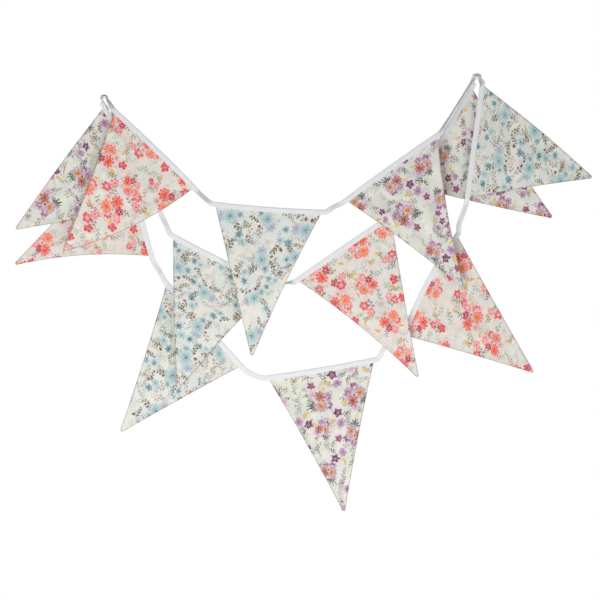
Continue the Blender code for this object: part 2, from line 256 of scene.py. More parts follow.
# Twigs strewn over the whole cotton: how far apart, which, and how many are there
Strewn = namedtuple("Strewn", "pitch shift share strength twig")
Print = namedtuple("Print", "tints bouquet spray singles strewn")
PRINTS = {
    "coral": Print(
        tints=("mist", "warm blush", "lilac mist"),
        bouquet=(
            Twig(-15, 4, 150, 17, 5, 5, 2, 0, "sage", "taupe"),
            Twig(4, 17, 70, 15, 4.6, 4.6, -2, 0.2, "olive", "bark"),
            Blade(12, -4, -15, 13, 5, 1.5, "amber", "straw"),
            Bloom(14, 5, 7, 7, 0.28, 0.22, 0, "coral", "pale pink", "rose", "crimson", "pale pink", 0.7),
            Bloom(-13, -6, 6.6, 6, 0.3, 0.26, 0, "pale pink", "dusty rose", "taupe", "bark", "blush", 0.4),
            Bloom(10, -9, 7.6, 8, 0.25, 0.26, 0, "crimson", "rose", "pale pink", "crimson", "pale pink", 0.7),
            Bloom(0, -10, 9.8, 10, 0.21, 0.6, 0, "coral", "rose", "orange", "vermilion", "pale pink", 0.8),
            Bloom(-7, 6, 9.8, 9, 0.24, 0.64, 0, "crimson", "rose", "vermilion", "scarlet", "pale pink", 0.8),
            Bloom(4, 9, 6.6, 6, 0.32, 0.24, 0, "crimson", "magenta", "rose", "maroon", "pale pink", 0.4),
            Bloom(4, 0, 3.2, 5, 0.36, 0.46, 0, "pale pink", "taupe", "olive", "bark", "pale pink", 0.3),
        ),
        spray=(
            Twig(-4, -13, 25, 18, 5, 3.8, 2.5, 1, "taupe", "bark"),
            Blade(7, 2, 68, 14, 4.8, 1, "amber", "straw"),
            Twig(6, 4, 120, 14, 4.6, 4.4, -1.5, 0, "sage", "olive"),
            Bloom(-9, -4, 7.6, 6, 0.33, 0.22, 0, "crimson", "rose", "pale pink", "crimson", "pale pink", 0.5),
            Bloom(4, -6, 6.6, 6, 0.31, 0.24, 0, "coral", "pale pink", "crimson", "crimson", "pale pink", 0.4),
        ),
        singles=(
            Bloom(0, 0, 7.6, 5, 0.38, 0.26, 0, "crimson", "coral", "crimson", "maroon", "pale pink", 0.8),
            Blade(-6, 0, 0, 12, 4.4, 1.2, "amber", "straw"),
        ),
        strewn=(
            Strewn(22, 7, 0.85, 0.8, Twig(0, 0, 0, 20, 5.4, 5.8, 2.6, 0, "sage", "sage")),
            Strewn(20, 41, 0.6, 0.5, Twig(0, 0, 0, 15, 5.6, 3.8, -2.4, 1, "faint taupe", "dusty rose")),
            Strewn(28, 93, 0.65, 0.75, Twig(0, 0, 0, 20, 6, 6, 3.4, 0, "taupe", "olive")),
        ),
    ),
    "blue": Print(
        tints=("mist", "blush", "sky mist"),
        bouquet=(
            Twig(-13, 12, 130, 22, 5.4, 7, 3, 0, "olive", "bark"),
            Twig(-7, -15, 235, 18, 4.6, 5, -2.6, 0, "bark", "dark bark"),
            Twig(13, -11, -30, 22, 6.8, 4.8, 4, 1, "olive", "bark"),
            Bloom(12, 6, 9.6, 8, 0.26, 0.18, 0, "steel", "dusk", "navy", "navy", "pale sky", 0.4),
            Bloom(-12, -4, 7.4, 6, 0.28, 0.24, 1, "pale teal", "deep teal", "navy", "navy", "pale sky", 0.6),
            Bloom(0, 3, 11.4, 9, 0.22, 0.2, 0, "pale teal", "teal", "deep teal", "deep teal", "pale sky", 0.6),
            Bloom(7, -11, 3.4, 5, 0.4, 0.66, 0, "dusty rose", "bark", "bark", "dark bark", "blush", 0.5),
            Bloom(-2, -12, 3, 5, 0.4, 0.66, 0, "taupe", "bark", "dark bark", "dark bark", "blush", 0.5),
        ),
        spray=(
            Twig(9, 9, 50, 18, 4.6, 5.2, -2.4, 0, "olive", "dark bark"),
            Bloom(-5, -5, 7, 6, 0.28, 0.24, 1, "teal", "deep teal", "navy", "navy", "pale sky", 0.7),
            Bloom(8, -4, 6.4, 6, 0.28, 0.2, 0, "pale teal", "teal", "deep teal", "navy", "pale sky", 0.5),
            Bloom(1, 7, 3.2, 5, 0.4, 0.66, 0, "taupe", "bark", "dark bark", "dark bark", "blush", 0.4),
        ),
        singles=(
            Bloom(0, 0, 7.4, 7, 0.25, 0.24, 1, "pale teal", "deep teal", "navy", "navy", "pale sky", 0.8),
            Twig(0, 0, 0, 20, 4.6, 5, 3, 0, "bark", "olive"),
        ),
        strewn=(
            Strewn(21, 7, 0.75, 0.7, Twig(0, 0, 0, 20, 4.8, 5, 3.6, 0, "sage", "olive")),
            Strewn(19, 41, 0.65, 0.75, Twig(0, 0, 0, 16, 5.2, 4, -3.2, 1, "taupe", "bark")),
            Strewn(27, 93, 0.6, 0.75, Twig(0, 0, 0, 24, 4.8, 5, 5, 0, "taupe", "bark")),
        ),
    ),
    "purple": Print(
        tints=("pale lime", "lilac mist", "mist"),
        bouquet=(
            Fan(-1, 12, 78, 14, 1.2, 26, 100, "forest"),
            Twig(15, 9, 35, 16, 4.2, 4.8, 2, 0, "olive", "forest"),
            Blade(6, -9, -50, 12, 5.2, 1, "lime", "straw"),
            Bloom(13, 3, 7.2, 6, 0.34, 0.24, 0, "pale lilac", "mauve", "lilac", "mauve", "pale lilac", 0.6),
            Bloom(-12, -4, 7.2, 6, 0.34, 0.26, 0, "mauve", "plum", "pale lilac", "plum", "pale lilac", 0.5),
            Bloom(-2, -11, 7.6, 7, 0.3, 0.22, 0, "lilac", "plum", "pale lilac", "plum", "pale lilac", 0.6),
            Bloom(-6, 5, 9.2, 8, 0.27, 0.56, 0, "lilac", "plum", "amber", "rust", "pale lilac", 0.6),
            Bloom(6, -2, 8.8, 8, 0.27, 0.62, 0, "mauve", "plum", "rust", "maroon", "pale pink", 0.5),
            Bloom(-2, -2, 3, 5, 0.4, 0.6, 0, "pale pink", "plum", "forest", "forest", "pale pink", 0.2),
        ),
        spray=(
            Blade(3, -2, -70, 14, 5, 1.2, "lime", "straw"),
            Twig(-9, 8, 125, 17, 4, 4.4, 2, 0, "olive", "forest"),
            Bloom(-7, -3, 7.8, 5, 0.36, 0.2, 1, "plum", "dark plum", "magenta", "plum", "pale lilac", 0.8),
            Bloom(5, 6, 6.6, 6, 0.34, 0.22, 0, "lilac", "mauve", "plum", "plum", "pale lilac", 0.5),
        ),
        singles=(
            Bloom(0, 0, 7.4, 5, 0.36, 0.22, 1, "magenta", "plum", "dark plum", "plum", "pale lilac", 0.8),
            Twig(0, 0, 0, 17, 4.2, 4.6, 3, 0, "olive", "forest"),
        ),
        strewn=(
            Strewn(21, 7, 0.8, 0.8, Twig(0, 0, 0, 19, 4.4, 5, 3.4, 0, "sage", "olive")),
            Strewn(18, 41, 0.6, 0.75, Twig(0, 0, 0, 15, 5.2, 3.8, -2.6, 1, "faint sage", "mauve")),
            Strewn(27, 93, 0.65, 0.85, Twig(0, 0, 0, 20, 4.8, 5.2, 3.6, 0, "olive", "forest")),
        ),
    ),
}
SPRAY_SHIFT = 0.5  # sprays lie between the bouquets, as a share of their distance
SINGLE_SHARE = 0.38
CLEAR_OF_BOUQUET = 24.0
CLEAR_OF_SPRAY = 16.0


def length(name, description, default, **more):
    """One of the settings' lengths in metres."""
    return bpy.props.FloatProperty(name=name, description=description, default=default, unit="LENGTH", **more)


def colour_of(name, description, default):
    """One of the settings' colours."""
    return bpy.props.FloatVectorProperty(
        name=name, description=description, default=default, subtype="COLOR", min=0.0, max=1.0)


class BuntingSettings(bpy.types.PropertyGroup):
    """Sizes and colours of the bunting."""

    pennant_width: length("Pennant Width", "Width of a pennant's cut along its hoist", 0.18)
    pennant_height: length("Pennant Height", "Height of a pennant's cut from hoist to tip", 0.24)
    cloth_thickness: length("Cloth Thickness", "Thickness of a pennant in its middle", 0.0009)
    tape_width: length("Tape Width", "Width of the tape once it is folded", 0.0082)
    ground_colour: colour_of("Cotton Ground", "Colour of the cotton between its flowers", (0.79, 0.77, 0.70))
    tape_colour: colour_of("Tape", "Colour of the folded tape", (0.83, 0.84, 0.85))
    thread_colour: colour_of("Thread", "Colour of the sewing thread", (0.90, 0.90, 0.90))
    floor_colour: colour_of("Floor", "Colour of the plain floor", (0.85, 0.85, 0.84))
    weave_pitch: length("Weave Pitch", "Distance between two threads of the cotton", 0.00045, precision=5)
    bouquet_pitch: length("Bouquet Pitch", "Mean distance between two bouquets of the print", 0.065)


def settings():
    """The scene's bunting settings."""
    return bpy.context.scene.bunting


def deselect_all():
    """Leaves nothing selected, so that an operator acts on the new piece alone."""
    for obj in bpy.context.selected_objects:
        obj.select_set(False)
    bpy.context.view_layer.objects.active = None


def smooth(share):
    """0 to 1 with level ends."""
    share = min(max(share, 0.0), 1.0)
    return share * share * (3 - 2 * share)


def across(direction):
    """A unit vector square to a direction in the XZ plane, to its left as seen from the front."""
    return Vector((-direction.z, 0, direction.x)).normalized()


def outward(direction, inner):
    """The same, but to the side that an inner vector doesn't point to."""
    out = across(direction)
    return -out if out.dot(inner) > 0 else out


def corners(row):
    """A pennant's hoist start, hoist end and tip at its hoist's depth."""
    return tuple(Vector((x, row.depth, z)) for x, z in (row.start, row.end, row.tip))


def hoist_point(row, share):
    """A point of a pennant's top edge, which bows away from its tip."""
    start, end, tip = corners(row)
    out = outward(end - start, tip - start)
    return start.lerp(end, share) + out * row.hoist_bow * 4 * share * (1 - share)


def side_bulge(row, share):
    """How far a line from the hoist to the tip is pushed out by the pennant's curved sides."""
    start, end, tip = corners(row)
    at_start = outward(tip - start, end - start) * row.start_bow
    at_end = outward(tip - end, start - end) * row.end_bow
    return at_start * (1 - share) + at_end * share


def flat_point(along, down):
    """The same point on the flat cut, in millimetres from the middle of its hoist."""
    width, height = settings().pennant_width / MM, settings().pennant_height / MM
    wide = TIP_W + (width - TIP_W) * (1 - down)
    return Vector(((along - 0.5) * wide, -down * height, 0))


def crease_height(name, flat):
    """How far the pennant's creases lift a point of its flat cut to the front."""
    height = 0.0
    for crease in CREASES[name]:
        start = flat_point(crease.across, crease.down)
        end = flat_point(crease.to_across, crease.to_down)
        run = end - start
        share = min(max((flat - start).dot(run) / run.length_squared, 0.0), 1.0)
        off = (flat - start.lerp(end, share)).length
        fade = CREASE_END + (1 - CREASE_END) * math.sin(math.pi * share)
        height += CREASE_DEPTH * crease.rise * fade * math.exp(-((off / crease.spread) ** 2))
    return height


def ripple(name, flat, along, free):
    """Uneven shallow waves over the cloth, deeper along its two free sides."""
    seed = Vector((0, 0, WAVE_SEED * (1 + list(PENNANTS).index(name))))
    broad = BROAD_RISE * noise.noise(flat / BROAD_WAVE + seed)
    fine = FINE_RISE * noise.noise(flat / FINE_WAVE + seed * 2)
    edge = EDGE_RISE * abs(2 * along - 1) ** 3
    return free * (broad + fine + edge * noise.noise(flat / EDGE_WAVE + seed * 3))


def pennant_point(name, along, down):
    """A point of a pennant's middle surface: along its hoist and down towards its tip."""
    row = PENNANTS[name]
    start, end, tip = corners(row)
    height = (tip - (start + end) / 2).length
    tuck = TUCK / height
    share = down * (1 + tuck) - tuck
    free = max(0.0, share - 2 * tuck) / (1 - 2 * tuck)
    end_of_line = tip + (end - start).normalized() * TIP_W * (along - 0.5)
    point = hoist_point(row, along).lerp(end_of_line, share)
    point += side_bulge(row, along) * 4 * max(share, 0.0) * (1 - share)
    wave = math.sin(math.pi * free) ** 2
    fold = row.rise * math.exp(-(((along - row.fold_at) / FOLD_SPREAD) ** 2))
    point.y = row.depth + (row.tip_depth - row.depth) * smooth(free) - (row.belly + fold) * wave
    flat = flat_point(along, max(share, 0.0))
    loose = smooth(free * LOOSENING)
    point.y -= crease_height(name, flat) * loose + ripple(name, flat, along, loose)
    return point


Section = namedtuple("Section", "middle turn half")


def hoist_sections(row, turn):
    """The tape's sections along one pennant, a little past both its corners."""
    length = (hoist_point(row, 1) - hoist_point(row, 0)).length
    spare = HOIST_SPARE / length
    shares = [-spare + (1 + 2 * spare) * i / HOIST_STEPS for i in range(HOIST_STEPS + 1)]
    return [Section(hoist_point(row, share), turn, HELD_HALF) for share in shares]


def squared(share):
    """Pushes a circle's coordinate outwards, for a turn with squarer shoulders."""
    return math.copysign(abs(share) ** SHOULDER_POWER, share)


def over_peg(step):
    """Stations of the tape's turn over a peg."""
    peg = PEGS[step.peg]
    stations = []
    for i in range(LOOP_STEPS + 1):
        angle = math.radians(step.from_deg + (step.to_deg - step.from_deg) * i / LOOP_STEPS)
        out, up = math.cos(angle), math.sin(angle)
        middle = Vector((peg.x + step.radius * squared(out), step.depth, peg.z + step.radius * squared(up)))
        stations.append(Section(middle, step.turn, SHUT_HALF))
    return stations


def curve_between(stations, first_way, last_way):
    """Sections on a smooth curve through stations, which leaves and meets in the given ways."""
    ways = [first_way]
    for before, after in zip(stations, stations[2:]):
        ways.append((after.middle - before.middle).normalized())
    ways.append(last_way)
    sections = []
    for i in range(len(stations) - 1):
        here, there = stations[i], stations[i + 1]
        length = (there.middle - here.middle).length
        steps = max(4, math.ceil(length / TAPE_STEP), math.ceil(abs(there.turn - here.turn) / TWIST_STEP))
        for k in range(steps):
            t = k / steps
            middle = here.middle * (2 * t**3 - 3 * t**2 + 1) + there.middle * (3 * t**2 - 2 * t**3)
            middle += ways[i] * length * (t**3 - 2 * t**2 + t)
            middle += ways[i + 1] * length * (t**3 - t**2)
            turn = here.turn + (there.turn - here.turn) * smooth(t)
            shut_in = smooth(length * t / SHUTTING) if here.half == HELD_HALF else 1.0
            shut_out = smooth(length * (1 - t) / SHUTTING) if there.half == HELD_HALF else 1.0
            half = HELD_HALF + (SHUT_HALF - HELD_HALF) * min(shut_in, shut_out)
            sections.append(Section(middle, turn, half))
    return sections


def tape_sections():
    """All the tape's sections, from its first free end to its last."""
    sections, waiting, way = [], [], None
    for step in ROUTE:
        if isinstance(step, Over):
            waiting += over_peg(step)
            continue
        if isinstance(step, Via):
            waiting.append(Section(Vector((step.x, step.depth, step.z)), step.turn, SHUT_HALF))
            continue
        row = PENNANTS[step]
        start, end, tip = corners(row)
        turn = TO_LEFT if across(end - start).dot(tip - start) > 0 else TO_RIGHT
        along = hoist_sections(row, turn)
        if way is None:
            way = (waiting[1].middle - waiting[0].middle).normalized()
        entry = (along[1].middle - along[0].middle).normalized()
        sections += curve_between(waiting + along[:1], way, entry)
        sections += along[:-1]
        waiting = [along[-1]]
        way = (along[-1].middle - along[-2].middle).normalized()
    leaving = (waiting[-1].middle - waiting[-2].middle).normalized()
    sections += curve_between(waiting, way, leaving)
    sections.append(waiting[-1])
    return sections


TapeFrame = namedtuple("TapeFrame", "middle hang through half travelled")


def tape_frames():
    """Each section's middle, the way its open edge hangs, the way through it, and its travel."""
    sections = tape_sections()
    frames, travelled = [], 0.0
    for i, section in enumerate(sections):
        before = sections[max(i - 1, 0)].middle
        after = sections[min(i + 1, len(sections) - 1)].middle
        run = (after - before).normalized()
        left = run.cross(Vector((0, 1, 0))).normalized()
        turn = math.radians(section.turn)
        hang = left * math.cos(turn) + run.cross(left) * math.sin(turn)
        if i:
            travelled += (section.middle - sections[i - 1].middle).length
        frames.append(TapeFrame(section.middle, hang, run.cross(hang), section.half, travelled))
    return frames


COLOUR, VECTOR, FLOAT = "NodeSocketColor", "NodeSocketVector", "NodeSocketFloat"
INK_FIELDS = ("petal", "deep", "disc", "core", "glow", "root", "tip", "colour")

# The print's edges are pairs: ink is full up to the first number and gone from the second,
# or the other way round where the first is larger. A bloom's are shares of its radius or petal.
INK_EDGE = (0.88, 1.06)
GLOW_EDGE = (0.85, 1.50)
PETAL_MIDDLE, PETAL_HALF = 0.59, 0.41
STAR_FROM, STAR_TAPER = 0.5, 1.5
ROOT_EDGE, ROOT_INK = (0.22, 0.72), 0.8
VEIN_EDGE, VEIN_END, VEIN_INK = (0.01, 0.09), (0.55, 0.95), 0.5
RIM_EDGE, RIM_INK = (0.95, 0.58), 0.6
CORE_EDGE = (0.25, 0.70)
RING_EDGE, RING_INK = (1.02, 1.25), 0.45

# A leaf's edges are millimetres from its outline, its stem or its rib
BLADE_EDGE, BLADE_POWER = (-0.35, 0.15), 0.75
RIB_EDGE, RIB_INK = (0.10, 0.55), 0.55
FAN_EDGE, FAN_WAVE, FAN_UNEVEN, FAN_ROOT = (-0.30, 0.10), 3.1, 0.16, 0.2
STEM_EDGE, STEM_INK = (0.15, 0.60), 0.85
LEAF_EDGE, LEAF_RIB = (-0.40, 0.10), (0.15, 0.8)
LEAF_SLOPE = math.radians(50)
LEAF_STAGGER, LEAF_FOOT = 0.22, 0.7
LEAF_HALF, LEAF_LEAST, END_LEAF_LOSS = 0.27, 0.02, 0.45
BERRY_EDGE, BERRY_OUT = (1.1, 1.8), 0.62

# Display values to linear light
DISPLAY_LIFT, DISPLAY_POWER = 0.055, 2.4

# The cottons, in millimetres and shares
WASH_MM, WASH_SHIFT, WASH_EDGE, WASH_INK = 24.0, (53.0, 31.0), (0.46, 0.60), 0.75
PATCH_MM, PATCH_SHIFT, PATCH_EDGE, PATCH_LOSS = 34.0, (17.0, 71.0, 0.0), (0.42, 0.56), 0.62
WOBBLES = ((0.04, 6.0), (0.26, 2.4))  # scale and reach of a hand-drawn line's wobbles
TWIG_JITTER, SINGLE_JITTER, BOUQUET_JITTER = 0.55, 0.6, 0.3
SINGLE_SHIFT = 9.0
WAY_LEAST, WAY_GAIN = 0.84, 0.34  # bouquets are drawn smaller the more their ways are stretched
MOTTLE_SCALE, MOTTLE_EDGE, MOTTLE_INK = 0.42, (0.46, 0.64), 0.40
WRONG_SIDE_INK = 0.82
# painted shade along a pennant's sides, where its turned edges curve away from the light: millimetres from the
# side, and how dark it is
SIDE_SHADE_EDGE, SIDE_SHADE_INK = (0.3, 2.2), 0.50
SEAM_IN, SEAM_OUT, SEAM_RISE = 1.2, 0.6, 1.4
SLUB_STRETCH, SLUB_SCALE, SLUB_RISE, WEAVE_RISE = (0.3, 3.0, 1.0), 0.6, 0.8, 0.5
TAPE_RIB_MM, TAPE_RIB_RISE = 0.8, 0.35
PUCKER_STRETCH, PUCKER_SCALE, PUCKER_RISE = (0.35, 1.0, 1.0), 0.5, 3.0
TAPE_CLOUD_SCALE, TAPE_CLOUD_INK, TAPE_SHADE = 0.12, 0.45, 0.84
THREAD_TWIST, THREAD_INK, THREAD_SHADE = 1200.0, 0.4, 0.8
CLOTH_BUMP, TAPE_BUMP, THREAD_BUMP = 0.12, 0.16, 0.05


def joined(operation, other_first=False):
    """A Python operator that makes a Math node."""

    def method(self, *others):
        return calc(operation, *others, self) if other_first else calc(operation, self, *others)

    return method


class Value:
    """A node's output, which Python's own operators combine through Math nodes."""

    def __init__(self, tree, socket):
        self.tree = tree
        self.socket = socket

    __add__ = joined("ADD")
    __sub__ = joined("SUBTRACT")
    __rsub__ = joined("SUBTRACT", other_first=True)
    __mul__ = joined("MULTIPLY")
    __truediv__ = joined("DIVIDE")
    __rtruediv__ = joined("DIVIDE", other_first=True)
    __abs__ = joined("ABSOLUTE")
    __lt__ = joined("LESS_THAN")
    __gt__ = joined("GREATER_THAN")

    def __neg__(self):
        return self * -1.0


def feed(socket, value):
    """Links a value to a socket, or sets the socket to a number or a colour."""
    if isinstance(value, Value):
        value.tree.links.new(value.socket, socket)
    elif isinstance(value, tuple) and socket.type == "RGBA":
        socket.default_value = (*value, 1.0)
    else:
        socket.default_value = value


def add(tree, kind, inputs=None, **values):
    """A new node with its settings, and its inputs set or linked."""
    node = tree.nodes.new(kind)
    for key, value in values.items():
        setattr(node, key, value)
    for key, value in (inputs or {}).items():
        feed(node.inputs[key], value)
    return node


def made(tree, kind, inputs=None, output=0, **values):
    """One output of a new node."""
    return Value(tree, add(tree, kind, inputs, **values).outputs[output])


def tree_of(*values):
    """The node tree that values belong to, which may be mixed with numbers and colours."""
    return next(each.tree for each in values if isinstance(each, Value))


def calc(operation, *values, clamp=False):
    """A Math node's result."""
    inputs = dict(enumerate(values))
    return made(tree_of(*values), "ShaderNodeMath", inputs, operation=operation, use_clamp=clamp)


def vector(operation, *values, **more):
    """A Vector Math node's result."""
    output = "Value" if operation == "LENGTH" else 0
    inputs = dict(enumerate(values)) | more
    return made(tree_of(*values), "ShaderNodeVectorMath", inputs, output, operation=operation)


def parts(value):
    """A vector's X, Y and Z."""
    outputs = add(value.tree, "ShaderNodeSeparateXYZ", {0: value}).outputs
    return [Value(value.tree, socket) for socket in outputs]


def turned(way, angle):
    """A vector turned about Z."""
    return made(way.tree, "ShaderNodeVectorRotate", {"Vector": way, "Angle": angle}, rotation_type="Z_AXIS")


def clouds(place, scale, detail, roughness=0.5, output=0, dimensions="2D"):
    """Soft noise at a place of the cotton."""
    inputs = {"Vector": place, "Scale": scale, "Detail": detail, "Roughness": roughness}
    return made(place.tree, "ShaderNodeTexNoise", inputs, output, noise_dimensions=dimensions)


def blend(share, under, over):
    """One colour laid over another."""
    return made(share.tree, "ShaderNodeMix", {"Factor": share, 6: under, 7: over}, 2, data_type="RGBA")


def step_down(value, inner, outer):
    """1 where a value is under inner, 0 where it is over outer, and smooth between."""
    inputs = {"Value": value, "From Min": inner, "From Max": outer, "To Min": 1.0, "To Max": 0.0}
    return made(value.tree, "ShaderNodeMapRange", inputs, interpolation_type="SMOOTHSTEP")


def group_with(name, gives, takes):
    """A node group, its inputs as values and its output sockets. Both are given with their kinds."""
    tree = bpy.data.node_groups.new(name, "ShaderNodeTree")
    for sockets, way in ((gives, "OUTPUT"), (takes, "INPUT")):
        for label, kind in sockets.items():
            tree.interface.new_socket(label, in_out=way, socket_type=kind)
    sockets = tree.nodes.new("NodeGroupInput").outputs
    given = SimpleNamespace(**{each.name: Value(tree, each) for each in sockets if each.name})
    return tree, given, tree.nodes.new("NodeGroupOutput").inputs


def ink(name):
    """One of the prints' inks as linear light."""
    return tuple(((part / 255 + DISPLAY_LIFT) / (1 + DISPLAY_LIFT)) ** DISPLAY_POWER for part in INKS[name])


def leaf_room(along):
    """How full a leaf is at a share of its length: 0 at both its ends and 1 halfway."""
    return calc("MULTIPLY", along * 4.0, 1.0 - along, clamp=True)


def scatter_group():
    """Spreads motifs: the way from the nearest one's middle, its chance numbers and its middle."""
    tree, given, gives = group_with(
        "Scattered motifs", dict.fromkeys(("way", "chance", "middle"), VECTOR),
        {"point": VECTOR, "pitch": FLOAT, "shift": FLOAT, "jitter": FLOAT},
    )
    shift = made(tree, "ShaderNodeCombineXYZ", {"X": given.shift, "Y": given.shift})
    cells = vector("SCALE", vector("ADD", given.point, shift), Scale=1.0 / given.pitch)
    nearest = add(
        tree, "ShaderNodeTexVoronoi", {"Vector": cells, "Scale": 1.0, "Randomness": given.jitter},
        voronoi_dimensions="2D", feature="F1",
    ).outputs
    chance = Value(tree, nearest["Color"])
    middle = vector("SCALE", Value(tree, nearest["Position"]), Scale=given.pitch)
    middle = vector("SUBTRACT", middle, shift)
    away = vector("SUBTRACT", given.point, middle)
    way = turned(away, parts(chance)[0] * math.tau)
    for label, value in {"way": way, "chance": chance, "middle": middle}.items():
        feed(gives[label], value)
    return tree


def paint_bloom(given):
    """Paints one flower: a pale glow, separate petals with deeper ink, and a round disc."""
    x, y, _ = parts(given.way)
    reach = vector("LENGTH", given.way) / given.radius
    half = math.pi / given.petals
    angle = calc("WRAP", calc("ARCTAN2", y, x), half, -half)
    out = reach * calc("COSINE", angle)
    side = abs(reach * calc("SINE", angle))
    past = calc("SUBTRACT", out, STAR_FROM, clamp=True)
    narrow = 1.0 - past * (given.star * STAR_TAPER)
    place = made(reach.tree, "ShaderNodeCombineXYZ", {
        "X": (out - PETAL_MIDDLE) / PETAL_HALF, "Y": side / (given.slim * narrow)})
    share = vector("LENGTH", place)
    halo = step_down(reach, *GLOW_EDGE) * given.halo
    colour = blend(halo * given.strength, given.under, given.glow)
    root = step_down(out, *ROOT_EDGE) * ROOT_INK
    vein = step_down(side, *VEIN_EDGE) * step_down(out, *VEIN_END)
    rim = step_down(share, *RIM_EDGE) * RIM_INK
    petal = blend(calc("MAXIMUM", vein * VEIN_INK + root, rim), given.petal, given.deep)
    colour = blend(step_down(share, *INK_EDGE) * given.strength, colour, petal)
    disc_share = reach / given.heart
    disc = blend(step_down(disc_share, *CORE_EDGE), given.disc, given.core)
    ring = step_down(disc_share, *RING_EDGE) * given.strength
    colour = blend(ring * RING_INK, colour, given.glow)
    mask = step_down(disc_share, *INK_EDGE) * given.strength
    return blend(mask, colour, disc)


def paint_blade(given):
    """Paints one leaf or trumpet flower from its root to its tip, with a slight bend."""
    x, y, _ = parts(turned(given.way, -given.turn))
    along = x / given.length
    room = leaf_room(along)
    off = abs(y - given.bend * room)
    wide = calc("POWER", room, BLADE_POWER) * (given.width * 0.5)
    mask = step_down(off - wide, *BLADE_EDGE) * (abs(along - 0.5) < 0.5)
    colour = blend(along, given.root, given.tip)
    colour = blend(step_down(off, *RIB_EDGE) * RIB_INK, colour, given.root)
    return blend(mask * given.strength, given.under, colour)


def paint_fan(given):
    """Paints a fan of slim leaves that spring from one point."""
    x, y, _ = parts(given.way)
    reach = vector("LENGTH", given.way)
    angle = calc("WRAP", calc("ARCTAN2", y, x) - given.turn, math.pi, -math.pi)
    half = given.step * 0.5
    off = abs(calc("WRAP", angle, half, -half) * reach)
    shorter = calc("COSINE", angle * FAN_WAVE) * FAN_UNEVEN + (1 - FAN_UNEVEN)
    along = reach / (given.radius * shorter)
    wide = (leaf_room(along) * (1 - FAN_ROOT) + FAN_ROOT) * given.width
    mask = step_down(off - wide, *FAN_EDGE) * (along < 1.0) * (abs(angle) < given.spread)
    return blend(mask * given.strength, given.under, given.colour)


def paint_twig(given):
    """Paints a bent stem with pairs of leaves, or with berries."""
    x, y, _ = parts(turned(given.way, -given.turn))
    share = x / (given.length * 0.5)
    side = y - share * share * given.bend
    hand = calc("SIGN", side)
    side = abs(side)
    visible = (abs(share) < 1.0) * given.strength
    stem = step_down(side, *STEM_EDGE) * STEM_INK
    half = given.gap * 0.5
    foot = half * LEAF_FOOT
    shifted = hand * (given.gap * LEAF_STAGGER) + x
    along = calc("WRAP", shifted, half, -half) + foot
    size = given.leaf * (1.0 - share * share * END_LEAF_LOSS)
    rise, run = math.sin(LEAF_SLOPE), math.cos(LEAF_SLOPE)
    off = abs(side * run - along * rise)
    room = leaf_room((along * run + side * rise) / size)
    leaf = step_down(off - room * (size * LEAF_HALF), *LEAF_EDGE) * (room > LEAF_LEAST)
    place = made(along.tree, "ShaderNodeCombineXYZ", {"X": along - foot, "Y": side - size * BERRY_OUT})
    berry = step_down(vector("LENGTH", place), *BERRY_EDGE) * given.berry
    green = leaf * (1.0 - given.berry)
    colour = blend(stem * visible, given.under, given.deep)
    leaf_ink = blend(step_down(off, *LEAF_RIB), given.colour, given.deep)
    colour = blend(green * visible, colour, leaf_ink)
    return blend(berry * visible, colour, given.deep)


def make_painters():
    """The node groups that all the prints share, by the kind of motif that each paints."""
    painters = {"scatter": scatter_group()}
    for kind, paint in ((Bloom, paint_bloom), (Blade, paint_blade), (Fan, paint_fan), (Twig, paint_twig)):
        takes = {"under": COLOUR, "way": VECTOR, "strength": FLOAT}
        takes |= {key: COLOUR if key in INK_FIELDS else FLOAT for key in kind._fields if key not in ("x", "y")}
        painters[kind], given, gives = group_with("Painted " + kind.__name__.lower(), {"painted": COLOUR}, takes)
        feed(gives["painted"], paint(given))
    return painters


def painted_motif(painters, under, way, motif, strength):
    """Lays one motif over what is under it."""
    here = vector("SUBTRACT", way, (float(motif.x), float(motif.y), 0.0))
    inputs = {"under": under, "way": here, "strength": strength}
    for key, value in motif._asdict().items():
        if key in INK_FIELDS:
            inputs[key] = ink(value)
        elif key in ("turn", "step", "spread"):
            inputs[key] = math.radians(value)
        elif key not in ("x", "y"):
            inputs[key] = float(value)
    return made(way.tree, "ShaderNodeGroup", inputs, node_tree=painters[type(motif)])


def painted_ground(point, tints):
    """The cotton's off-white ground with faint washes of tints."""
    colour = tuple(settings().ground_colour)
    for i, tint in enumerate(tints):
        place = vector("ADD", point, (WASH_SHIFT[0] * i, WASH_SHIFT[1] * i, 0.0))
        wash = 1.0 - step_down(clouds(place, 1.0 / WASH_MM, 2.0), *WASH_EDGE)
        colour = blend(wash * WASH_INK, colour, ink(tint))
    return colour


def scattered(painters, point, pitch, shift, jitter):
    """The way from a scatter's nearest motif, its chance numbers and its middle."""
    inputs = {"point": point, "pitch": float(pitch), "shift": float(shift), "jitter": jitter}
    outputs = add(point.tree, "ShaderNodeGroup", inputs, node_tree=painters["scatter"]).outputs
    return [Value(point.tree, outputs[label]) for label in ("way", "chance", "middle")]


def strewn_twigs(painters, design, point, drawn, colour):
    """Lays the cotton's twigs over its ground, in denser and in barer patches."""
    place = vector("ADD", point, PATCH_SHIFT)
    bare = step_down(clouds(place, 1.0 / PATCH_MM, 1.0), *PATCH_EDGE)
    leafy = 1.0 - bare * PATCH_LOSS
    for strewn in design.strewn:
        way, chance, _ = scattered(painters, drawn, strewn.pitch, strewn.shift, TWIG_JITTER)
        shown = (parts(chance)[2] < strewn.share) * strewn.strength * leafy
        colour = painted_motif(painters, colour, way, strewn.twig, shown)
    return colour


